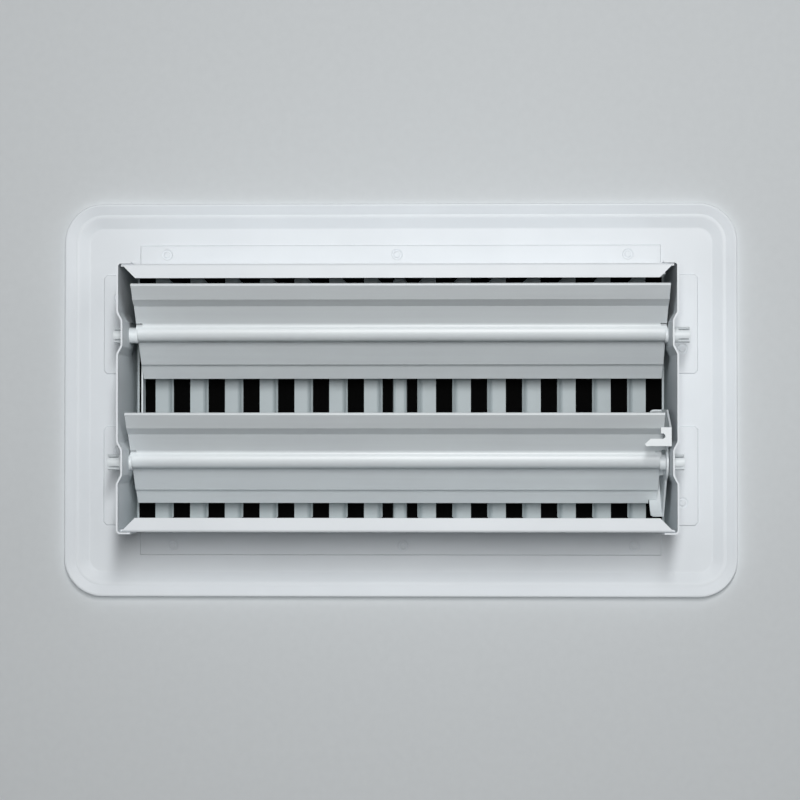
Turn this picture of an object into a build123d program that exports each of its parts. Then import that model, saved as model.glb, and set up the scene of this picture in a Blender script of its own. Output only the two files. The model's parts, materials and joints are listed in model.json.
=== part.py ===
"""Floor register with a two-blade damper, in millimetres.

The register is modelled as it lies in the floor: +Z is up, out of the floor, and Z = 0 is
the floor surface that the rim rests on. X runs along the register and Y across it. The
collar, the two damper blades, their lever and the link hang below the face, in the duct.
"Depth" below means the distance under the back of the raised panel, so it grows towards -Z.
"""

import os
from math import atan2, cos, radians, sin, tan

from build123d import *

# Face plate, which laps the collar on all sides
end_lap = 25.75
side_lap = 25.35
face_corner = 14.0
face_sheet = 0.8
rim_height = 1.9
rim_band = 4.7
rim_ramp = 4.0
rim_nose = 1.4
nose_steps = 3
ogee_radius = 3.0
face_raise = 3.4

# Louvre bars: flat strips between the slots, each with one edge curled into the duct
slot_margin = 0.7
slot_width = 5.9
bar_pitch = 12.7
bar_flat = 4.4
centre_bar = 2.2
curl_radius = 1.6
curl_angle = 50.0
curl_tail = 0.8
centre_curl_angle = 32.0
centre_curl_tail = 0.3

# Collar: two folded long walls and two stamped end walls, welded to the panel
collar_length = 193.0
collar_width = 92.2
collar_depth = 46.9
wall_sheet = 0.6
wall_bend = 0.9
wall_gap = 0.1
long_flange = 10.4
rear_lip = 4.9
end_tab_reach = 11.8
end_tab_start = 9.5
end_tab_edge = 0.4
tab_corner = 1.2
ear_length = 5.0
ear_start_depth = 7.0

# Bearings: inward joggles of the end walls, with a flanged hole in each
axle_from_rear = 17.9
joggle_depth = 1.5
joggle_flat = 8.6
joggle_ramp = 2.8
joggle_past_axle = 9.0
joggle_bend = 1.5
bearing_collar = 1.3
bearing_wall = 0.75

# Damper blades
blade_sheet = 0.6
blade_tilt = 43.0
blade_set_back = 1.7
blade_side_gap = 0.3
blade_end_gap = 0.4
blade_overlap = 1.2
blade_float = 1.0
bead_radius = 3.35
bead_blend = 1.4
near_step = 1.5
near_step_start = 12.0
near_step_run = 4.3
far_step = 1.3
far_step_start = 15.0
far_step_run = 1.0
hem_width = 2.0
hem_round = 0.55
trunnion_diameter = 5.6
trunnion_wall = 0.7
trunnion_reach = 8.0
trunnion_slit = 1.3
trunnion_slit_length = 4.0
running_gap = 0.05
relief_slit = 0.9
relief_length = 2.2

# Lever
lever_sheet = 0.7
lever_gap = 0.3
lever_to_blade = 45.0
quadrant_gap = 0.8
quadrant_angle = 58.0
quadrant_rim = 4.7
rim_end_round = 1.4
lever_hub = 6.0
lever_shoulder_out = 18.2
lever_shoulder_drop = 5.5
lever_waist = 6.0
hook_start = -11.6
hook_width = 6.5
hook_height = 17.0
hook_short_reach = 3.7
hook_long_reach = 9.3
hook_notch_start = 2.1
hook_notch_width = 1.8
hook_notch_reach = 2.2
hook_bump_reach = 7.2
tongue_width = 6.0
tongue_rise = 2.0
stake_offset = 6.2
stake_width = 3.0
stake_gap = 0.05

# Link
link_sheet = 0.6
link_eye = 3.9
link_bar = 6.8
link_side_gap = 0.4
lug_sheet = 0.6
lug_width = 5.9
lug_drop = 12.0
pin_diameter = 3.0
pin_overrun = 0.3
open_pivot_gap = 0.3

# Overrun of the cutting tools, and how near an edge must lie to the place it is looked for
cut_over = 1.0
near_by = 0.01

# Places worked out from the sizes above
face_length = collar_length + 2 * end_lap
face_width = collar_width + 2 * side_lap
panel_back = face_raise - face_sheet
inner_half_length = collar_length / 2 - wall_sheet
inner_half_width = collar_width / 2 - wall_sheet
slot_length = 2 * (inner_half_width - slot_margin)
end_tab_stop = collar_width / 2 - end_tab_edge
joggle_inside = inner_half_length - joggle_depth
axle_y = (inner_half_width - blade_side_gap - blade_overlap / 2) / 2
axle_spacing = 2 * axle_y
axle_depth = collar_depth - axle_from_rear
axle_z = panel_back - axle_depth
blade_half = joggle_inside - blade_end_gap - blade_float
blade_reach = inner_half_width - axle_y - blade_side_gap
trunnion_radius = trunnion_diameter / 2
bearing_radius = trunnion_radius + running_gap
pin_radius = pin_diameter / 2
lug_along = inner_half_width - axle_y - link_eye - link_side_gap
lever_outside = joggle_inside - lever_gap
quadrant_radius = inner_half_width - axle_y - quadrant_gap
tongue_reach = axle_depth + tongue_rise


def z_at(depth):
    """Height of a point that lies `depth` under the back of the panel."""
    return panel_back - depth


def box_between(low, high):
    """Box between two corners."""
    size = [b - a for a, b in zip(low, high)]
    return Pos(*low) * Box(*size, align=(Align.MIN, Align.MIN, Align.MIN))


def round_corners(face, places, radius):
    """Round the corners of a flat face that lie at the given places."""
    corners = [face.vertices().sort_by_distance((x, y, 0))[0] for x, y in places]
    return fillet(corners, radius)


def drilled(axis_at, direction, radius, length):
    """Cylinder centred on a point, along a direction."""
    return Plane(axis_at, z_dir=direction).location * Cylinder(radius, length)


# Face plate
def pan(inset, drop, shift, steps, crown, valley):
    """Solid under one surface of the face: an outer band and a raised panel with ogee sides."""
    band_top = rim_height - drop
    panel_top = face_raise - drop

    def level(edge_inset, z):
        plan = RectangleRounded(
            face_length - 2 * edge_inset,
            face_width - 2 * edge_inset,
            face_corner - edge_inset,
        )
        return Pos(0, 0, z) * plan

    if steps:
        turns = [radians(90 * k / steps) for k in range(steps + 1)]
        rolled = [level(rim_nose * (1 - cos(a)), band_top - rim_nose * (1 - sin(a))) for a in turns]
        slab = loft([level(inset, 0)] + rolled, ruled=True)
    else:
        slab = extrude(level(inset, 0), band_top)
    foot_inset = rim_band + shift
    panel = loft([level(foot_inset, band_top), level(foot_inset + rim_ramp, panel_top)], ruled=True)
    panel = fillet(panel.edges().group_by(Axis.Z)[-1], crown)
    whole = slab + panel
    foot = [
        edge
        for edge in whole.edges()
        if abs(edge.center().Z - band_top) < near_by
        and edge.bounding_box().size.Z < near_by
        and abs(edge.center().X) < face_length / 2 - foot_inset + near_by
        and abs(edge.center().Y) < face_width / 2 - foot_inset + near_by
    ]
    return fillet(foot, valley)


def curl(x_base, side, angle, tail):
    """Edge of a louvre bar, rolled down into the duct and cut at 45 degrees at its ends."""
    inner = curl_radius
    outer = curl_radius + face_sheet
    z_centre = panel_back - curl_radius

    def point(radius, turn, along=0.0):
        a = radians(turn)
        x = x_base + side * (radius * sin(a) + along * cos(a))
        return (x, z_centre + radius * cos(a) - along * sin(a))

    outline = [
        Line(point(inner, 0), point(outer, 0)),
        ThreePointArc(point(outer, 0), point(outer, angle / 2), point(outer, angle)),
        Line(point(outer, angle), point(outer, angle, tail)),
        Line(point(outer, angle, tail), point(inner, angle, tail)),
        Line(point(inner, angle, tail), point(inner, angle)),
        ThreePointArc(point(inner, angle), point(inner, angle / 2), point(inner, 0)),
    ]
    strip = extrude(Plane.XZ * make_face(outline), slot_length / 2, both=True)
    reach = abs(point(outer, angle, tail)[0] - x_base)
    half = slot_length / 2
    trim = Polyline(
        (x_base, -half),
        (x_base + side * reach, reach - half),
        (x_base + side * reach, half - reach),
        (x_base, half),
        close=True,
    )
    window = extrude(make_face(trim), 2 * face_raise, both=True)
    return strip & window


def make_face_plate():
    slope = atan2(face_raise - rim_height, rim_ramp)
    shift = face_sheet * tan(slope / 2)
    front = pan(0, 0, 0, nose_steps, ogee_radius, ogee_radius)
    tight = ogee_radius - face_sheet
    wide = ogee_radius + face_sheet
    back = pan(face_sheet, face_sheet, shift, 0, tight, wide)
    plate = front - back
    end_slot = inner_half_length - slot_margin
    first_bar = end_slot - slot_width
    bars = int((first_bar - centre_bar - slot_width) / bar_pitch) + 1
    cuts = [(first_bar, end_slot)]
    for k in range(bars):
        outer_edge = first_bar - k * bar_pitch
        inner_edge = outer_edge - bar_flat
        opening_end = centre_bar / 2 if k == bars - 1 else outer_edge - bar_pitch
        cuts.append((opening_end, inner_edge))
    half = slot_length / 2
    for low, high in cuts:
        for a, b in ((low, high), (-high, -low)):
            plate -= box_between((a, -half, 0), (b, half, face_raise + cut_over))
    for k in range(bars):
        bar_edge = first_bar - k * bar_pitch - bar_flat
        plate += curl(bar_edge, -1, curl_angle, curl_tail)
        plate += curl(-bar_edge, 1, curl_angle, curl_tail)
    for side in (1, -1):
        plate += curl(side * centre_bar / 2, side, centre_curl_angle, centre_curl_tail)
    return plate


# Collar
def make_long_wall(side):
    """Folded strip: flange on the panel, wall, and a lip turned in at the duct end."""
    outside = collar_width / 2
    inside = outside - wall_sheet
    rear = z_at(collar_depth)
    section = Polyline(
        (outside + long_flange, panel_back),
        (inside, panel_back),
        (inside, rear + wall_sheet),
        (outside - rear_lip, rear + wall_sheet),
        (outside - rear_lip, rear),
        (outside, rear),
        (outside, panel_back - wall_sheet),
        (outside + long_flange, panel_back - wall_sheet),
        close=True,
    )
    face = make_face(section)
    face = round_corners(face, [(outside, rear), (inside, panel_back)], wall_bend)
    hollow = [(inside, rear + wall_sheet), (outside, panel_back - wall_sheet)]
    face = round_corners(face, hollow, wall_bend - wall_sheet)
    half = inner_half_length - wall_gap - wall_bend
    wall = extrude(Plane.YZ * face, half, both=True)
    for end in (1, -1):
        mitre = Polyline(
            (end * half, outside - rear_lip - cut_over),
            (end * (half - rear_lip - cut_over), outside - rear_lip - cut_over),
            (end * half, outside),
            close=True,
        )
        wall -= extrude(Pos(0, 0, rear - cut_over) * make_face(mitre), wall_sheet + cut_over)
    return wall if side > 0 else Rot(0, 0, 180) * wall


def joggle_block(y, inset, grow):
    """Flat-topped wedge pressed into the end wall at an axle, open at the duct edge."""
    outer_x = collar_length / 2 - inset
    rear = z_at(collar_depth) - cut_over
    near = axle_z + joggle_past_axle + grow
    wide = joggle_flat / 2 + joggle_ramp + grow
    flat = joggle_flat / 2 + grow

    def level(x, half, top):
        low = [(x, y - half, rear), (x, y + half, rear)]
        high = [(x, y + half, top), (x, y - half, top)]
        return Face(Wire.make_polygon(low + high))

    mouth = level(outer_x, wide, near + joggle_ramp)
    floor = level(outer_x - joggle_depth, flat, near)
    return loft([mouth, floor], ruled=True)


def round_folds(wall, y, x, spread, radius):
    """Round the two folds of a joggle that run up the wall at x, `spread` to each side of its middle."""
    folds = [
        edge
        for edge in wall.edges().filter_by(Axis.Z)
        if abs(edge.center().X - x) < near_by
        and abs(abs(edge.center().Y - y) - spread) < near_by
    ]
    return fillet(folds, radius)


def make_end_wall(side):
    """Right end wall, turned round for the left one."""
    outside = collar_length / 2
    inside = outside - wall_sheet
    wrap = collar_width / 2 + wall_gap
    rear = z_at(collar_depth)
    outer_plan = Polyline(
        (outside - ear_length, wrap + wall_sheet),
        (outside, wrap + wall_sheet),
        (outside, -wrap - wall_sheet),
        (outside - ear_length, -wrap - wall_sheet),
        (outside - ear_length, -wrap),
        (inside, -wrap),
        (inside, wrap),
        (outside - ear_length, wrap),
        close=True,
    )
    plan = make_face(outer_plan)
    sharp = [(outside, wrap + wall_sheet), (outside, -wrap - wall_sheet)]
    plan = round_corners(plan, sharp, wall_bend + wall_sheet)
    plan = round_corners(plan, [(inside, wrap), (inside, -wrap)], wall_bend)
    wall = extrude(Pos(0, 0, rear) * plan, collar_depth)
    ear_top = z_at(ear_start_depth)
    for sign in (1, -1):
        low, high = sorted((sign * inner_half_width, sign * (wrap + wall_sheet + cut_over)))
        wall -= box_between(
            (outside - ear_length - cut_over, low, ear_top),
            (outside + cut_over, high, panel_back + cut_over),
        )
    slope = atan2(joggle_depth, joggle_ramp)
    grow = wall_sheet * tan(slope / 2)
    wall_room = box_between((0, -wrap, rear), (outside, wrap, panel_back))
    for y in (axle_y, -axle_y):
        wall += joggle_block(y, wall_sheet, grow) & wall_room
        wall -= joggle_block(y, 0, 0)
        mouth = joggle_flat / 2 + joggle_ramp
        wall = round_folds(wall, y, outside, mouth, joggle_bend + wall_sheet)
        wall = round_folds(wall, y, inside, mouth + grow, joggle_bend)
        wall = round_folds(wall, y, outside - joggle_depth, joggle_flat / 2, joggle_bend)
        wall = round_folds(wall, y, joggle_inside, joggle_flat / 2 + grow, joggle_bend + wall_sheet)
        seat = outside - joggle_depth
        centre = (seat + (bearing_collar - wall_sheet) / 2, y, axle_z)
        height = bearing_collar + wall_sheet
        wall += drilled(centre, (1, 0, 0), bearing_radius + bearing_wall, height)
        wall -= drilled(centre, (1, 0, 0), bearing_radius, height + cut_over)
    for sign in (1, -1):
        low, high = sorted((sign * end_tab_start, sign * end_tab_stop))
        tab = box_between(
            (inside, low, panel_back - wall_sheet),
            (outside + end_tab_reach, high, panel_back),
        )
        free = tab.edges().filter_by(Axis.Z).group_by(Axis.X)[-1]
        wall += chamfer(free, tab_corner)
    return wall if side > 0 else Rot(0, 0, 180) * wall


# Damper blades, drawn about their axle: x towards the face edge, y to the duct side, z to -X
def bead_dome():
    """Half-round outline of the bead over the middle of the strip."""
    upper = Pos(0, bead_radius - blade_sheet / 2) * Rectangle(2 * bead_radius, 2 * bead_radius)
    return Circle(bead_radius) & upper


def blade_section():
    half = blade_sheet / 2
    a0 = -near_step_start - near_step_run
    a1 = -near_step_start
    d0 = far_step_start
    d1 = far_step_start + far_step_run
    strip = Polyline(
        (-blade_reach, near_step + half),
        (a0, near_step + half),
        (a1, half),
        (d0, half),
        (d1, half - far_step),
        (blade_reach, half - far_step),
        (blade_reach, -half - far_step),
        (d1, -half - far_step),
        (d0, -half),
        (a1, -half),
        (a0, near_step - half),
        (hem_width - blade_reach, near_step - half),
        (hem_width - blade_reach, near_step - half - blade_sheet),
        (-blade_reach, near_step - half - blade_sheet),
        close=True,
    )
    fold = [(-blade_reach, near_step + half), (-blade_reach, near_step - half - blade_sheet)]
    section = round_corners(make_face(strip), fold, hem_round)
    section += bead_dome()
    foot = (bead_radius**2 - half**2) ** 0.5
    section = round_corners(section, [(foot, half), (-foot, half)], bead_blend)
    return Pos(0, -blade_set_back) * (section - Circle(bead_radius - blade_sheet))


def make_blade(lug_hole, staked):
    """One damper blade: pressed strip with a trunnion at each bead end, and the lug for the link."""
    blade = extrude(blade_section(), blade_half, both=True)
    stub_length = trunnion_reach + blade_sheet
    for end in (1, -1):
        relief = Box(relief_slit, 2 * bead_radius, 2 * relief_length)
        for across in (1, -1):
            centre = across * (bead_radius + relief_slit / 2)
            blade -= Pos(centre, 0, end * blade_half) * relief
        bead_end = Pos(0, -blade_set_back, end * (blade_half - blade_sheet)) * bead_dome()
        blade += extrude(bead_end, end * blade_sheet)
        stub_middle = Pos(0, 0, end * (blade_half - blade_sheet + stub_length / 2))
        blade += stub_middle * Cylinder(trunnion_radius, stub_length)
        bore = Pos(0, 0, end * cut_over / 2) * stub_middle
        blade -= bore * Cylinder(trunnion_radius - trunnion_wall, stub_length + cut_over)
        tip = end * (blade_half + trunnion_reach - trunnion_slit_length / 2)
        for turn in (0, 90, 180):
            slit = Rot(0, 0, turn) * Pos(trunnion_radius / 2, 0, tip)
            blade -= slit * Box(trunnion_radius + cut_over, trunnion_slit, trunnion_slit_length)
    lug_root = far_step + blade_set_back
    lug = Pos(lug_along, -(lug_drop + lug_root) / 2) * Rectangle(lug_width, lug_drop - lug_root)
    lug += Pos(lug_along, -lug_drop) * Circle(lug_width / 2)
    lug -= Pos(lug_along, -lug_drop) * Circle(lug_hole)
    blade += extrude(Pos(0, 0, blade_half - lug_sheet) * lug, lug_sheet)
    if staked:
        tail = lever_outside + blade_float - blade_half
        for across in (1, -1):
            stake = Pos(across * stake_offset, -blade_set_back, -blade_half - tail / 2)
            blade += stake * Box(stake_width, blade_sheet, tail)
        notch_start = quadrant_radius - lever_sheet - 2 * lever_gap
        notch_end = lever_outside - quadrant_rim - lever_gap + blade_float
        blade -= box_between(
            (notch_start, -lug_drop, -blade_half - cut_over),
            (blade_reach + cut_over, lug_drop, -notch_end),
        )
    return blade


def blade_frame(y, shift, tilt):
    """Frame of a blade at rest: x runs up the blade to the face side, z points to -X."""
    a = radians(tilt)
    return Plane((shift, y, axle_z), x_dir=(0, cos(a), sin(a)), z_dir=(-1, 0, 0)).location


def end_frame(x, y, z):
    """Frame of a piece that stands across the register: x is +Y, y towards the duct, z to -X."""
    return Plane((x, y, z), x_dir=(0, 1, 0), z_dir=(-1, 0, 0)).location


# Lever, drawn about the axle
def make_lever():
    a = radians(quadrant_angle)
    rim_point = (quadrant_radius * sin(a), -quadrant_radius * cos(a))
    far_rim_point = (-rim_point[0], rim_point[1])
    shoulder = (-lever_shoulder_out, lever_shoulder_drop)
    hook_stop = hook_start + hook_width
    outline = [
        Line(far_rim_point, shoulder),
        Line(shoulder, (hook_start, hook_height)),
        Line((hook_start, hook_height), (hook_stop, hook_height)),
        Line((hook_stop, hook_height), (hook_stop, lever_waist)),
        Line((hook_stop, lever_waist), (lever_waist, 0)),
        Line((lever_waist, 0), rim_point),
        ThreePointArc(rim_point, (0, -quadrant_radius), far_rim_point),
    ]
    tongue_round = tongue_width / 2
    tongue_end = -(tongue_reach - tongue_round)
    web = make_face(outline) + Circle(lever_hub)
    web += Pos(0, tongue_end / 2) * Rectangle(tongue_width, -tongue_end)
    web += Pos(0, tongue_end) * Circle(tongue_round)
    web -= Circle(trunnion_radius + stake_gap)
    for across in (1, -1):
        slot = Rectangle(stake_width + 2 * stake_gap, blade_sheet + 2 * stake_gap)
        web -= Rot(0, 0, -lever_to_blade) * Pos(across * stake_offset, -blade_set_back) * slot
    lever = extrude(web, lever_sheet)

    ring = Circle(quadrant_radius) - Circle(quadrant_radius - lever_sheet)
    across = 2 * quadrant_radius * sin(a)
    up = -2 * quadrant_radius * cos(a)
    wedge = Polyline((0, 0), (-across, up), (across, up), close=True)
    rim = extrude(ring & make_face(wedge), quadrant_rim)
    free_edges = rim.edges().group_by(Axis.Z)[-1]
    ends = [edge for edge in free_edges if edge.length < lever_sheet + near_by]
    lever += fillet(ends, rim_end_round)

    notch_round = hook_notch_width / 2
    notch_low = hook_start + hook_notch_start
    notch_high = notch_low + hook_notch_width
    notch_deep = hook_notch_reach + notch_round
    notch_floor = (notch_low + notch_round, hook_notch_reach)
    hook_tip = hook_stop - lever_sheet
    hook = [
        Line((hook_start, 0), (hook_start, hook_short_reach)),
        Line((hook_start, hook_short_reach), (notch_low, hook_short_reach)),
        Line((notch_low, hook_short_reach), (notch_low, notch_deep)),
        ThreePointArc((notch_low, notch_deep), notch_floor, (notch_high, notch_deep)),
        Line((notch_high, notch_deep), (notch_high, hook_bump_reach)),
        Line((notch_high, hook_bump_reach), (hook_tip, hook_long_reach)),
        Line((hook_tip, hook_long_reach), (hook_stop, hook_long_reach - lever_sheet)),
        Line((hook_stop, hook_long_reach - lever_sheet), (hook_stop, 0)),
        Line((hook_stop, 0), (hook_start, 0)),
    ]
    hook_plane = Plane((0, hook_height, 0), x_dir=(1, 0, 0), z_dir=(0, -1, 0))
    lever += extrude(hook_plane * make_face(hook), lever_sheet)
    return end_frame(lever_outside, axle_y, axle_z) * Rot(0, 0, lever_to_blade - blade_tilt) * lever


# Link, drawn about the pivot on the rear blade
def make_link():
    a = radians(blade_tilt)
    pivot_y = axle_y + lug_along * cos(a) - lug_drop * sin(a)
    pivot_z = axle_z + lug_along * sin(a) + lug_drop * cos(a)
    plan = Pos(-axle_spacing / 2, 0) * Rectangle(axle_spacing, link_bar)
    for x in (0, -axle_spacing):
        plan += Pos(x, 0) * Circle(link_eye)
    link = extrude(plan, link_sheet)
    rear_lug_face = blade_half + blade_float
    front_lug_face = blade_half - blade_float
    middle = (rear_lug_face - lug_sheet + front_lug_face) / 2
    reach_out = rear_lug_face - middle - link_sheet / 2
    reach_in = middle - link_sheet / 2 - front_lug_face + lug_sheet + pin_overrun
    link += Pos(0, 0, link_sheet + reach_out / 2) * Cylinder(pin_radius, reach_out)
    link += Pos(-axle_spacing, 0, -reach_in / 2) * Cylinder(pin_radius, reach_in)
    return end_frame(link_sheet / 2 - middle, pivot_y, pivot_z) * link


rear_frame = blade_frame(axle_y, -blade_float, blade_tilt)
front_frame = blade_frame(-axle_y, blade_float, blade_tilt)
nodes = {
    "face_plate": make_face_plate(),
    "long_wall_rear": make_long_wall(1),
    "long_wall_front": make_long_wall(-1),
    "end_wall_right": make_end_wall(1),
    "end_wall_left": make_end_wall(-1),
    "damper_blade_rear": rear_frame * make_blade(pin_radius + running_gap, True),
    "damper_blade_front": front_frame * make_blade(pin_radius + open_pivot_gap, False),
    "damper_lever": make_lever(),
    "link_bar": make_link(),
}
os.makedirs("parts", exist_ok=True)
for name, solid in nodes.items():
    export_step(solid, f"parts/{name}.step")
    size = solid.bounding_box().size
    extent = f"{size.X:.1f} x {size.Y:.1f} x {size.Z:.1f} mm"
    print(f"{name}: {len(solid.solids())} solid, {solid.volume:.0f} mm3, {extent}")
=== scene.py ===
# %% [markdown]
# # A white floor register, seen from its duct side
#
# The part is a pressed-steel floor register: a louvred face plate, a four-walled collar that drops into
# the duct, and a pair of linked damper blades. The camera looks at the back of it, up into the collar,
# as if the register lay face down on a pale table.
#
# The part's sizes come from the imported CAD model, which is loaded first and never changed. Copies of its
# nodes get the dished rim, the small rounded edges, the weld marks and the paint that the eye expects.

# %% Load the frame
import json
from math import radians

import bmesh
import bpy
from mathutils import Matrix, Vector

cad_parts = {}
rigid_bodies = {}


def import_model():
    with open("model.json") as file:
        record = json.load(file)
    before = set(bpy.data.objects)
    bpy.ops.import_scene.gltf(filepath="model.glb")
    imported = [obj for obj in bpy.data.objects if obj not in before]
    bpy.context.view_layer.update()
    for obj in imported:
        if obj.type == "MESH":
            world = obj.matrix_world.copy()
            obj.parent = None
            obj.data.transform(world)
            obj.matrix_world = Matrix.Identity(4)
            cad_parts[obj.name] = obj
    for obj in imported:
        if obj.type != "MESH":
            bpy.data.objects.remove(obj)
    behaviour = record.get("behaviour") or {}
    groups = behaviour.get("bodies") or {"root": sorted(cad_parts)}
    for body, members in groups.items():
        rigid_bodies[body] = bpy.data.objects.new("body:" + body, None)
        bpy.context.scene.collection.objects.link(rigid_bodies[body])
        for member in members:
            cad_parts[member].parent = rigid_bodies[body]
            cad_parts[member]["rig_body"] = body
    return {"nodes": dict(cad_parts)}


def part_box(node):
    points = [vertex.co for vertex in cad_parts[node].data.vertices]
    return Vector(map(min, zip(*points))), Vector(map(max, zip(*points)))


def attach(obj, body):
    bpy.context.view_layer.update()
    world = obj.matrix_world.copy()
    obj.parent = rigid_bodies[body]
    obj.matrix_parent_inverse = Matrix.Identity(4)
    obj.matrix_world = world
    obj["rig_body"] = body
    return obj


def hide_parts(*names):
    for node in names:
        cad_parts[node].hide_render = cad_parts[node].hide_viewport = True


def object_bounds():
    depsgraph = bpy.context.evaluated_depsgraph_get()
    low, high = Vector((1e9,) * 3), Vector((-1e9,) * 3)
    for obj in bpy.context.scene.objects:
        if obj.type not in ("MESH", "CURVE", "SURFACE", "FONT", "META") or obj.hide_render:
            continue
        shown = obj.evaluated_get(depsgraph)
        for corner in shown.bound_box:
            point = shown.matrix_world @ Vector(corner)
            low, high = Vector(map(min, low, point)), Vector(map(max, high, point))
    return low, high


MM = 0.001

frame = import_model()
cad_low, cad_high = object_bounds()
bpy.context.scene.view_settings.view_transform = "Standard"
print("CAD box in mm:", [round(size / MM, 1) for size in cad_high - cad_low])

# %% [markdown]
# ## Sheet-metal pieces
#
# Each CAD node is copied, and the copy's loose triangles are merged into clean flat faces, so that its
# edges can be found and worked on. The node itself is never touched.

# %% Copy every node
MERGE_GAP = 0.001 * MM
FLAT_WITHIN = radians(0.4)


def select_only(piece):
    """Makes this piece the only selected object and the active one."""
    bpy.ops.object.select_all(action="DESELECT")
    piece.select_set(True)
    bpy.context.view_layer.objects.active = piece


def sheet_metal_copy(node):
    """A merged copy of a CAD node."""
    piece = bpy.data.objects.new(node + "_painted", frame["nodes"][node].data.copy())
    bpy.context.scene.collection.objects.link(piece)
    piece.data.materials.clear()
    select_only(piece)
    bpy.ops.mesh.customdata_custom_splitnormals_clear()
    bpy.ops.object.mode_set(mode="EDIT")
    bpy.ops.mesh.select_all(action="SELECT")
    bpy.ops.mesh.remove_doubles(threshold=MERGE_GAP)
    bpy.ops.mesh.dissolve_limited(angle_limit=FLAT_WITHIN)
    bpy.ops.object.mode_set(mode="OBJECT")
    return piece


pieces = {node: sheet_metal_copy(node) for node in frame["nodes"]}
for node, piece in pieces.items():
    print(node, "has", len(piece.data.polygons), "faces after merging")

# %% [markdown]
# ## Dished rim
#
# The back of the rim runs out to its edge in one shallow dish, without a corner where the edge turns
# down. In the CAD copy that corner is a closed line of points at one height. They are picked by their
# height and drawn in towards the middle, which leans the wall behind the edge over. Scaling the line
# would draw its corners in too far, so each point moves square to the outline instead. Both sides of
# the slope are marked sharp, so that it shades evenly all the way round.

# %% Lean the rim's inner wall over
RIM_CORNER_HEIGHT = 1.1 * MM
RIM_CORNER_RADIUS = 14 * MM
RIM_EDGE_WIDTH = 0.8 * MM
DISH_WIDTH = 3.1 * MM

face = pieces["face_plate"]
face_low, face_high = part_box("face_plate")
straight = face_high - Vector((RIM_CORNER_RADIUS, RIM_CORNER_RADIUS, 0))
draw_in = 1 - DISH_WIDTH / (RIM_CORNER_RADIUS - RIM_EDGE_WIDTH)
select_only(face)
bpy.ops.object.mode_set(mode="EDIT")
mesh = bmesh.from_edit_mesh(face.data)
rises = [
    sorted(edge.verts, key=lambda vert: vert.co.z) for edge in mesh.edges
    if sorted(round(vert.co.z / MM, 2) for vert in edge.verts) == [0, RIM_CORNER_HEIGHT / MM]
]
foot = {low for low, high in rises}
corner = {high for low, high in rises}
for edge in mesh.edges:
    if foot.issuperset(edge.verts) or corner.issuperset(edge.verts):
        edge.smooth = False
for vert in corner:
    x = max(-straight.x, min(vert.co.x, straight.x))
    y = max(-straight.y, min(vert.co.y, straight.y))
    centre = Vector((x, y, vert.co.z))
    vert.co = centre + draw_in * (vert.co - centre)
bmesh.update_edit_mesh(face.data)
bpy.ops.object.mode_set(mode="OBJECT")
print(len(corner), "points of the rim's corner drawn in by", round(DISH_WIDTH / MM, 1), "mm")

# %% [markdown]
# ## Rounded edges
#
# A stamped and painted sheet has no knife edges: the shear rolls one edge over, and the paint rounds it
# further and fills the corner beside it. Where a flange lies on the panel, that soft edge is all that
# draws its outline. A bevel modifier could round everything at once, but it narrows every edge to suit
# the tightest corner, so the edges that the eye can see are picked by their place and bevelled in edit
# mode. A run of them that stops at a fold is cut a little before it, so that the rounding fades out.

# %% Round the edges that show
WALL_SHEET = 0.6 * MM
ROUND_FROM = radians(38)
FADE_LENGTH = 0.9 * MM
LAP_EDGE_RADIUS = 0.45 * MM
RIM_LIP_RADIUS = 0.42 * MM
CUT_EDGE_RADIUS = 0.14 * MM
CUT_EDGE_LENGTH = 5 * MM
LEVEL_WITHIN = 0.01 * MM


def stop_before_folds(chosen):
    """Cuts each run of chosen edges a little before its two ends and returns what lies between."""
    kept = list(chosen)
    for edge in chosen:
        for vert in edge.verts:
            if sum(other in chosen for other in vert.link_edges) > 1:
                continue
            whole = next(part for part in kept if vert in part.verts)
            made, _ = bmesh.utils.edge_split(whole, vert, FADE_LENGTH / whole.calc_length())
            kept.remove(whole)
            kept.append(made if vert not in made.verts else whole)
    return kept


def ease_edges(piece, radius, wanted):
    """Rounds the sharp edges that the test picks."""
    select_only(piece)
    bpy.ops.object.mode_set(mode="EDIT")
    bpy.ops.mesh.select_mode(type="EDGE")
    bpy.ops.mesh.select_all(action="DESELECT")
    mesh = bmesh.from_edit_mesh(piece.data)
    chosen = [edge for edge in mesh.edges if edge.calc_face_angle() > ROUND_FROM and wanted(edge)]
    kept = stop_before_folds(chosen)
    for edge in kept:
        edge.select = True
    mesh.select_flush_mode()
    bmesh.update_edit_mesh(piece.data)
    bpy.ops.mesh.bevel(offset=radius, segments=3, clamp_overlap=False)
    bpy.ops.object.mode_set(mode="OBJECT")
    print(piece.name, "has", len(kept), "edges rounded to", round(radius / MM, 2), "mm")


def lies_at(edge, height):
    """Whether both ends of an edge are at this height."""
    return all(abs(vert.co.z - height) < LEVEL_WITHIN for vert in edge.verts)


ease_edges(face, RIM_LIP_RADIUS, lambda edge: lies_at(edge, face_low.z))
for node in ("long_wall_rear", "long_wall_front", "end_wall_right", "end_wall_left"):
    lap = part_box(node)[1].z - WALL_SHEET
    ease_edges(
        pieces[node], LAP_EDGE_RADIUS,
        lambda edge: edge.is_convex and edge.calc_length() > FADE_LENGTH and lies_at(edge, lap),
    )
for node in ("damper_blade_rear", "damper_blade_front", "damper_lever", "link_bar"):
    ease_edges(pieces[node], CUT_EDGE_RADIUS, lambda edge: edge.calc_length() > CUT_EDGE_LENGTH)

# %% [markdown]
# ## Weld marks
#
# The collar is held to the face plate by resistance welds: three along each long flange and one on each
# end tab. An electrode leaves a shallow ring about 4 mm across with a button in its middle. It could be a
# bump texture, but a dent is a real shape, so a small torus is sunk into the sheet at each weld. The
# rings of one wall are joined and cut away from it together.

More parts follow.
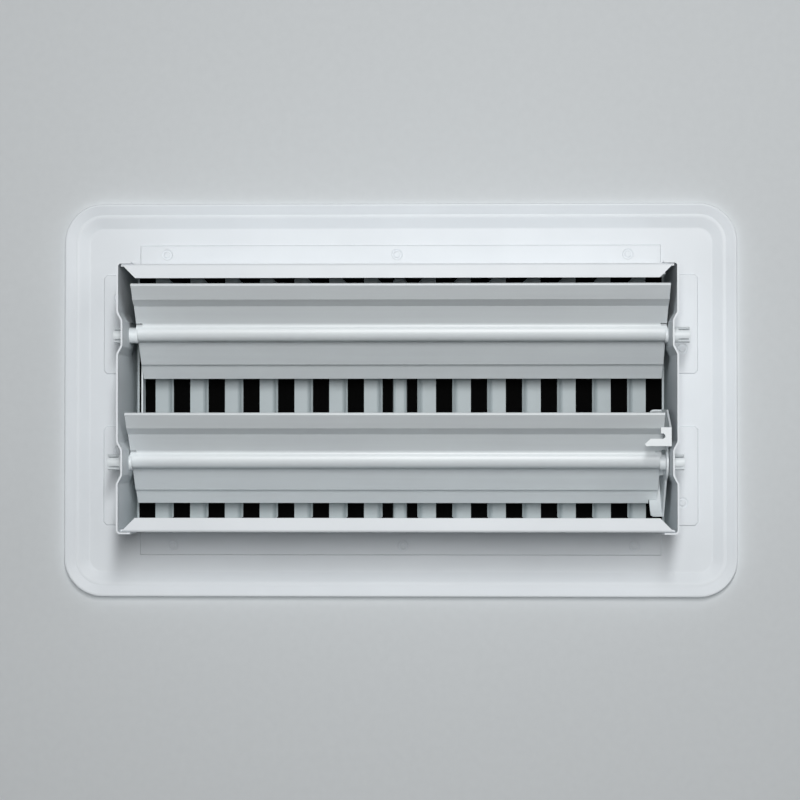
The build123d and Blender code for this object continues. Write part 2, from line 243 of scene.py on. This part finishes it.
# %% Press the weld rings into the flanges
RING_RADIUS = 1.5 * MM
RING_THICKNESS = 0.75 * MM
RING_STANDOFF = 0.45 * MM
FLANGE_WELD_SPACING = 84 * MM
FLANGE_WELD_SHIFT = 1.1 * MM
FLANGE_WELD_INSET = 3.5 * MM
TAB_WELD_INSET = 5.8 * MM
TAB_WELD_PLACES = (-18.6 * MM, 37.4 * MM)


def apply_modifier(piece, kind, **settings):
    """Adds one modifier with these settings and applies it."""
    select_only(piece)
    modifier = piece.modifiers.new(kind.lower(), kind)
    for name, value in settings.items():
        setattr(modifier, name, value)
    bpy.ops.object.modifier_apply(modifier=modifier.name)


def weld_rings(places):
    """One mesh of torus rings that stand with their lower rims under the flange face at these places."""
    bpy.ops.object.select_all(action="DESELECT")
    rings = []
    for place in places:
        bpy.ops.mesh.primitive_torus_add(
            major_radius=RING_RADIUS, minor_radius=RING_THICKNESS, major_segments=28,
            minor_segments=12, location=place,
        )
        rings.append(bpy.context.object)
    for ring in rings:
        ring.select_set(True)
    bpy.ops.object.join()
    return bpy.context.object


def press_welds(node, places):
    """Cuts the weld rings out of a wall's duct-side flange face."""
    rings = weld_rings(places)
    apply_modifier(pieces[node], "BOOLEAN", object=rings, operation="DIFFERENCE", solver="EXACT")
    bpy.data.objects.remove(rings)
    print(node, "got", len(places), "weld marks")


for node, outward in (("long_wall_rear", 1), ("long_wall_front", -1)):
    low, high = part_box(node)
    flange_edge = high.y if outward > 0 else low.y
    weld_z = high.z - WALL_SHEET - RING_STANDOFF
    weld_y = flange_edge - outward * FLANGE_WELD_INSET
    shift = outward * FLANGE_WELD_SHIFT
    press_welds(node, [(shift + step * FLANGE_WELD_SPACING, weld_y, weld_z) for step in (-1, 0, 1)])

for node, outward in (("end_wall_right", 1), ("end_wall_left", -1)):
    low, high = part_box(node)
    tab_edge = high.x if outward > 0 else low.x
    weld_z = high.z - WALL_SHEET - RING_STANDOFF
    weld_x = tab_edge - outward * TAB_WELD_INSET
    press_welds(node, [(weld_x, outward * place, weld_z) for place in TAB_WELD_PLACES])

# %% [markdown]
# ## Hand the pieces to the frame
#
# The face and the four walls are one rigid housing. Each blade turns on its own pivots, the lever is
# staked to the rear blade, and the link joins the two blades. Each copy rides on the body its node
# rides on and stands in for that node. Further down, the copy and its node get the same paint. The
# pressed bends of the housing shade smoothly, while the folds of the damper's sheet stay crisp.

# %% Smooth, ride and replace
HOUSING_SMOOTH = radians(38)
DAMPER_SMOOTH = radians(15)

for node, piece in pieces.items():
    body = frame["nodes"][node]["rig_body"]
    select_only(piece)
    bpy.ops.object.shade_smooth_by_angle(angle=HOUSING_SMOOTH if body == "housing" else DAMPER_SMOOTH)
    apply_modifier(piece, "WEIGHTED_NORMAL", keep_sharp=True)
    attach(piece, body)
    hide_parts(node)
    print(piece.name, "rides on", body)

# %% [markdown]
# ## Colours and nodes
#
# Colours are written as sRGB hex values, the way a paint card gives them, and one function turns them
# into the linear values that a shader works with. One small function adds a node, so that a material
# reads as a short recipe.

# %% Helpers for materials


def linear(hex_colour):
    """An sRGB hex value as linear red, green, blue and full alpha."""
    parts = [int(hex_colour[start:start + 2], 16) / 255 for start in (1, 3, 5)]
    return [part / 12.92 if part <= 0.04045 else ((part + 0.055) / 1.055) ** 2.4 for part in parts] + [1]


def add_node(tree, kind, values=None, links=None, **settings):
    """Adds one shader node: settings are its options, values fill its sockets, and links feed them."""
    made = tree.nodes.new("ShaderNode" + kind)
    for name, value in settings.items():
        setattr(made, name, value)
    for socket, value in (values or {}).items():
        made.inputs[socket].default_value = value
    for socket, source in (links or {}).items():
        tree.links.new(source, made.inputs[socket])
    return made


def new_material(name):
    """An empty node material, its tree and its Principled shader."""
    material = bpy.data.materials.new(name)
    material.use_nodes = True
    tree = material.node_tree
    return material, tree, tree.nodes["Principled BSDF"]


# A Mix node has sockets of every kind under the same names, so its colour sockets are found by number.
MIX_FACTOR, MIX_FIRST, MIX_SECOND, MIX_RESULT = 0, 6, 7, 2
print("white #FFFFFF is", linear("#FFFFFF"))

# %% [markdown]
# ## White polyester powder coat
#
# The housing is sprayed with dry polyester powder after it is welded, then baked. The film flows out to
# a satin skin with a faint orange peel, a little thicker in some places than in others. So the white is
# never quite even, the gloss wanders slightly, and highlights have soft, faintly rippled edges. Down
# inside the collar the white is painted greyer and greyer towards the bars. That grey is painted shade,
# standing in for the dark that gathers deep in the collar.

# %% Powder coat for the housing
COLLAR_HALF_LENGTH = 96.2 * MM
COLLAR_HALF_WIDTH = 45.8 * MM
MID_SHEET_HEIGHT = 3.0 * MM
# Painted shade inside the collar: none at the first height, full at the second, near the bars.
UNSHADED_HEIGHT = -40 * MM
FULL_SHADE_HEIGHT = 0.0


def powder_coat():
    """White polyester powder coat: cool white, satin, fine orange peel, and painted shade inside the
    collar.
    """
    film_patch_mm = 38
    gloss_patch_mm = 9
    orange_peel_mm = 1.6
    material, tree, shader = new_material("white_polyester_powder_coat")
    place = add_node(tree, "TexCoord").outputs["Object"]
    film = add_node(tree, "TexNoise", {"Scale": 1000 / film_patch_mm, "Detail": 3.0}, {"Vector": place})
    white = add_node(tree, "ValToRGB", links={"Fac": film.outputs["Fac"]})
    white.color_ramp.elements[0].position = 0.3
    white.color_ramp.elements[0].color = linear("#DDE2E6")
    white.color_ramp.elements[1].position = 0.7
    white.color_ramp.elements[1].color = linear("#E2E7EB")
    axes = add_node(tree, "SeparateXYZ", links={"Vector": place})
    depth = add_node(
        tree, "MapRange", {"From Min": UNSHADED_HEIGHT, "From Max": FULL_SHADE_HEIGHT},
        {"Value": axes.outputs["Z"]},
    )
    painted_shade_mask = depth.outputs["Result"]
    for axis, reach in (("X", COLLAR_HALF_LENGTH), ("Y", COLLAR_HALF_WIDTH), ("Z", MID_SHEET_HEIGHT)):
        offset = axes.outputs[axis]
        if axis != "Z":
            offset = add_node(tree, "Math", links={0: offset}, operation="ABSOLUTE").outputs[0]
        within = add_node(tree, "Math", {1: reach}, {0: offset}, operation="LESS_THAN").outputs[0]
        painted_shade_mask = add_node(tree, "Math", links={0: painted_shade_mask, 1: within}, operation="MULTIPLY").outputs[0]
    # Painted shade: inside the collar the white is mixed towards grey, more and more towards the bars.
    white_with_painted_shade = add_node(
        tree, "Mix", {MIX_SECOND: linear("#AAB4B7")},
        {MIX_FACTOR: painted_shade_mask, MIX_FIRST: white.outputs["Color"]}, data_type="RGBA",
    )
    gloss = add_node(tree, "TexNoise", {"Scale": 1000 / gloss_patch_mm, "Detail": 2.0}, {"Vector": place})
    roughness = add_node(
        tree, "MapRange", {"To Min": 0.46, "To Max": 0.56}, {"Value": gloss.outputs["Fac"]}
    )
    peel = add_node(tree, "TexNoise", {"Scale": 1000 / orange_peel_mm, "Detail": 1.0}, {"Vector": place})
    skin = add_node(
        tree, "Bump", {"Strength": 0.25, "Distance": 0.02 * MM}, {"Height": peel.outputs["Fac"]}
    )
    shader.inputs["IOR"].default_value = 1.5
    tree.links.new(white_with_painted_shade.outputs[MIX_RESULT], shader.inputs["Base Color"])
    tree.links.new(roughness.outputs["Result"], shader.inputs["Roughness"])
    tree.links.new(skin.outputs["Normal"], shader.inputs["Normal"])
    return material


housing_paint = powder_coat()
print("made", housing_paint.name)

# %% [markdown]
# ## Baked enamel on pre-painted strip
#
# The blades, the lever and the link are stamped from strip that was roller-coated before it was cut.
# The enamel is thinner and a touch greyer than the powder coat, and the rollers leave faint streaks
# along the strip, which is the long way of each blade.

# %% Strip enamel for the damper


def strip_enamel():
    """Baked enamel on rolled strip: slightly grey white, satin, with long faint roller streaks."""
    streak_mm = 2.2
    streak_stretch = 0.03
    film_patch_mm = 26
    material, tree, shader = new_material("baked_enamel_on_strip")
    place = add_node(tree, "TexCoord").outputs["Object"]
    along = add_node(tree, "Mapping", {"Scale": (streak_stretch, 1, 1)}, {"Vector": place})
    streaks = add_node(
        tree, "TexNoise", {"Scale": 1000 / streak_mm, "Detail": 2.0}, {"Vector": along.outputs["Vector"]}
    )
    film = add_node(tree, "TexNoise", {"Scale": 1000 / film_patch_mm, "Detail": 3.0}, {"Vector": place})
    both = add_node(
        tree, "Mix", {"Factor": 0.5}, {"A": film.outputs["Fac"], "B": streaks.outputs["Fac"]}
    )
    white = add_node(tree, "ValToRGB", links={"Fac": both.outputs["Result"]})
    white.color_ramp.elements[0].position = 0.3
    white.color_ramp.elements[0].color = linear("#D6DBDE")
    white.color_ramp.elements[1].position = 0.7
    white.color_ramp.elements[1].color = linear("#DDE3E5")
    roughness = add_node(
        tree, "MapRange", {"To Min": 0.36, "To Max": 0.44}, {"Value": streaks.outputs["Fac"]}
    )
    skin = add_node(
        tree, "Bump", {"Strength": 0.15, "Distance": 0.01 * MM}, {"Height": streaks.outputs["Fac"]}
    )
    shader.inputs["IOR"].default_value = 1.5
    tree.links.new(white.outputs["Color"], shader.inputs["Base Color"])
    tree.links.new(roughness.outputs["Result"], shader.inputs["Roughness"])
    tree.links.new(skin.outputs["Normal"], shader.inputs["Normal"])
    return material


damper_paint = strip_enamel()
print("made", damper_paint.name)

# %% Paint the pieces and the CAD nodes under them
for node, piece in pieces.items():
    cad_node = frame["nodes"][node]
    paint = housing_paint if cad_node["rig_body"] == "housing" else damper_paint
    piece.data.materials.append(paint)
    cad_node.material_slots[0].material = paint
print(len(pieces), "pieces painted")

# %% [markdown]
# ## Table, floor and black card
#
# The photograph looks at the back of the register, so the pale table it lies on is behind the face. For
# views from above there is a pale floor under the collar as well. Each is a large plane that shows only
# from its own side: the back of it is transparent, so that neither hides the object from the other. The
# camera alone sees these two, so they throw neither shade nor light on the part.
#
# The slots are black in the photograph. A black card on the table would do that, but it would also shade
# the face in views from above. So the card is inside the thickness of the face sheet, where it shows in
# the slots alone. It also stops the light above the face from shining down into the collar.

# %% Three one-sided planes
STAGE_SIZE = 8.0
STAGE_GAP = 0.1 * MM
CARD_INSET = 20 * MM
CARD_HEIGHT = 2.7 * MM


def one_sided_paper(name, dark, light):
    """Matt paper between two close tones, which lets everything through from behind."""
    fibre_mm = 3
    material, tree, shader = new_material(name)
    place = add_node(tree, "TexCoord").outputs["Object"]
    fibre = add_node(tree, "TexNoise", {"Scale": 1000 / fibre_mm, "Detail": 2.0}, {"Vector": place})
    grey = add_node(tree, "ValToRGB", links={"Fac": fibre.outputs["Fac"]})
    grey.color_ramp.elements[0].color = linear(dark)
    grey.color_ramp.elements[1].color = linear(light)
    tree.links.new(grey.outputs["Color"], shader.inputs["Base Color"])
    shader.inputs["Roughness"].default_value = 0.9
    behind = add_node(tree, "NewGeometry").outputs["Backfacing"]
    clear = add_node(tree, "BsdfTransparent").outputs["BSDF"]
    either = add_node(tree, "MixShader", links={0: behind, 1: shader.outputs["BSDF"], 2: clear})
    tree.links.new(either.outputs["Shader"], tree.nodes["Material Output"].inputs["Surface"])
    return material


def stage_plane(name, width, depth, height, faces_down, paper):
    """A plane at this height that shows from above, or from below."""
    bpy.ops.object.select_all(action="DESELECT")
    bpy.ops.mesh.primitive_plane_add(size=1, location=(0, 0, height))
    plane = bpy.context.object
    plane.name = name
    bpy.ops.object.mode_set(mode="EDIT")
    bpy.ops.transform.resize(value=(width, depth, 1))
    if faces_down:
        bpy.ops.mesh.flip_normals()
    bpy.ops.object.mode_set(mode="OBJECT")
    plane.data.materials.append(paper)
    return plane


paper = one_sided_paper("matt_grey_paper", "#CDD1D3", "#D2D6D8")
black_paper = one_sided_paper("matt_black_paper", "#020202", "#040404")
black_paper.node_tree.nodes["Principled BSDF"].inputs["Specular IOR Level"].default_value = 0.05
table = stage_plane("table", STAGE_SIZE, STAGE_SIZE, cad_high.z + STAGE_GAP, True, paper)
floor = stage_plane("floor", STAGE_SIZE, STAGE_SIZE, cad_low.z - STAGE_GAP, False, paper)
for plane in (table, floor):
    plane.visible_shadow = plane.visible_diffuse = plane.visible_glossy = False
card_size = (cad_high - cad_low) - 2 * CARD_INSET * Vector((1, 1, 1))
card = stage_plane("slot_card", card_size.x, card_size.y, CARD_HEIGHT, True, black_paper)
for plane in (table, floor, card):
    print(plane.name, "at", round(plane.location.z / MM, 1), "mm")

# %% [markdown]
# ## Light
#
# A narrow, tall softbox stands beside the camera, towards the top of the picture. It lights the wall and
# the blades' rolled axles square on, and the collar throws a soft shadow on the flange below it. A weak
# fill to the right lifts what the key misses. For views from above, another softbox hangs over the face,
# and the upper half of the pale room glows round it. The lower half is almost dark, so that the shade
# inside the collar stays.

# %% Softboxes


def softbox(name, place, width, height, watts):
    """An area lamp that stands at this place and faces the register."""
    bpy.ops.object.select_all(action="DESELECT")
    bpy.ops.object.light_add(type="AREA", location=place)
    lamp = bpy.context.object
    lamp.name = name
    lamp.rotation_euler = Vector(place).to_track_quat("Z", "Y").to_euler()
    lamp.data.shape = "RECTANGLE"
    lamp.data.size = width
    lamp.data.size_y = height
    lamp.data.energy = watts
    return lamp


key = softbox("key_softbox", (0.03, -0.15, -0.85), 0.07, 0.37, 5.5)
fill = softbox("fill_softbox", (0.55, -0.25, -0.8), 0.5, 0.5, 0.9)
above = softbox("face_softbox", (-0.25, 0.1, 1.3), 1.5, 1.5, 9)
print("lamps:", key.name, fill.name, above.name)

# %% Room light
GLOW_ABOVE = 0.7
GLOW_BELOW = 0.03

world = bpy.data.worlds.new("pale_room")
bpy.context.scene.world = world
world.use_nodes = True
room = world.node_tree
ray = add_node(room, "LightPath")
seen = add_node(
    room, "Math", links={0: ray.outputs["Is Camera Ray"], 1: ray.outputs["Is Glossy Ray"]},
    operation="MAXIMUM",
)
seen_or_through = add_node(
    room, "Math", links={0: seen.outputs[0], 1: ray.outputs["Is Transmission Ray"]}, operation="MAXIMUM"
)
direction = add_node(room, "TexCoord").outputs["Generated"]
height = add_node(room, "SeparateXYZ", links={"Vector": direction}).outputs["Z"]
upper_half = add_node(room, "Math", {1: 0.0}, {0: height}, operation="GREATER_THAN")
glow = add_node(
    room, "MapRange", {"To Min": GLOW_BELOW, "To Max": GLOW_ABOVE}, {"Value": upper_half.outputs[0]}
)
strength = add_node(
    room, "Math", links={0: seen_or_through.outputs[0], 1: glow.outputs["Result"]}, operation="MAXIMUM"
)
background = room.nodes["Background"]
background.inputs["Color"].default_value = linear("#E6E9EB")
room.links.new(strength.outputs[0], background.inputs["Strength"])
print("room:", world.name)

# %% [markdown]
# ## Camera
#
# The picture is square, and 0.3644 mm of the panel's back covers one of its 800 pixels. The collar walls
# lean outwards from a point a little right of and below the middle, which gives the camera's place: 0.78 m
# in front of the panel, almost square to it.

# %% Place the camera
MM_PER_PIXEL = 0.3644
PICTURE_PIXELS = 800
PANEL_BACK = 2.6 * MM
EYE_FROM_PANEL = Vector((18.5, 12.75, -783)) * MM
target = Vector((0, 0, PANEL_BACK))
eye = target + EYE_FROM_PANEL
picture_up = Vector((0, -1, 0))

bpy.ops.object.select_all(action="DESELECT")
bpy.ops.object.camera_add(location=eye)
camera = bpy.context.object
camera.name = "photo_camera"
forward = (target - eye).normalized()
right = forward.cross(picture_up).normalized()
up = right.cross(forward)
camera.matrix_world = Matrix.Translation(eye) @ Matrix((right, up, -forward)).transposed().to_4x4()
picture_width = MM_PER_PIXEL * PICTURE_PIXELS * MM
camera.data.sensor_fit = "HORIZONTAL"
camera.data.lens = camera.data.sensor_width * (target - eye).length / picture_width
bpy.context.scene.camera = camera
print("lens", round(camera.data.lens, 1), "mm")
